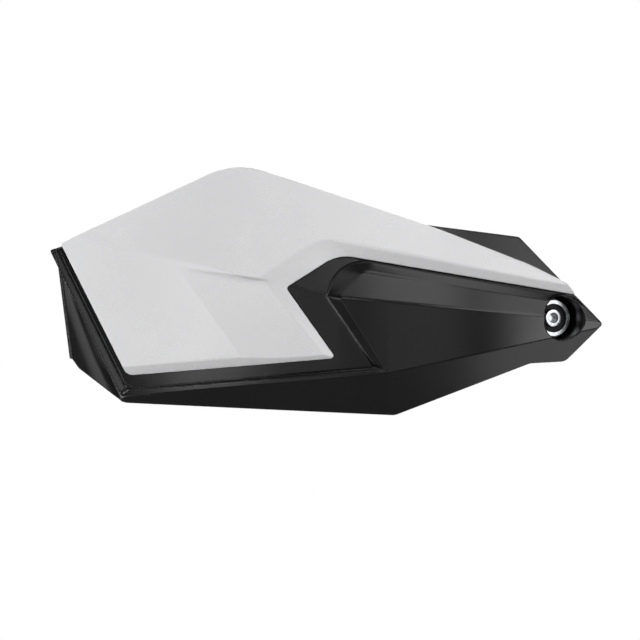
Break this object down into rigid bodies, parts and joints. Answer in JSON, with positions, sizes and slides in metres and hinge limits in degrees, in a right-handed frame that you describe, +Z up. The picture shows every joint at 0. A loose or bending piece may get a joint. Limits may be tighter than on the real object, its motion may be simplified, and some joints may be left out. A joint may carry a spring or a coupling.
{
  "type": "motorcycle hand guard",
  "caption": "Open-ended motorcycle hand guard: bowed black shell with a white bevelled cover, a recessed bolt at its inner end, an arm and a split handlebar clamp.",
  "frame": {"origin": "middle of the handlebar clamp's bore", "axes": "+X along the handlebar towards the middle of the machine, +Y back to the rider, +Z up"},
  "size_m": [0.3069, 0.142, 0.1378],
  "materials": {
    "shell_plastic": "black moulded polypropylene with a fine matt texture",
    "cover_plastic": "white moulded polypropylene, satin",
    "arm_nylon": "black glass-filled nylon, matt",
    "shim_nylon": "dark grey nylon",
    "zinc_steel": "bright zinc-plated steel",
    "grommet_rubber": "black rubber",
    "insert_brass": "turned brass"
  },
  "bodies": {
    "root": {"base_shell": "shell_plastic", "cover_panel": "cover_plastic", "cover_screws": "zinc_steel", "cover_screw_washers": "zinc_steel", "guard_bolt": "zinc_steel", "bolt_cup": "zinc_steel", "bolt_grommet": "grommet_rubber", "bolt_sleeve": "zinc_steel", "arm_insert": "insert_brass", "mounting_arm": "arm_nylon", "clamp_cap": "arm_nylon", "clamp_bolts": "zinc_steel", "clamp_washers": "zinc_steel", "clamp_nuts": "zinc_steel", "bar_shim_front": "shim_nylon", "bar_shim_rear": "shim_nylon"}
  },
  "joints": []
}
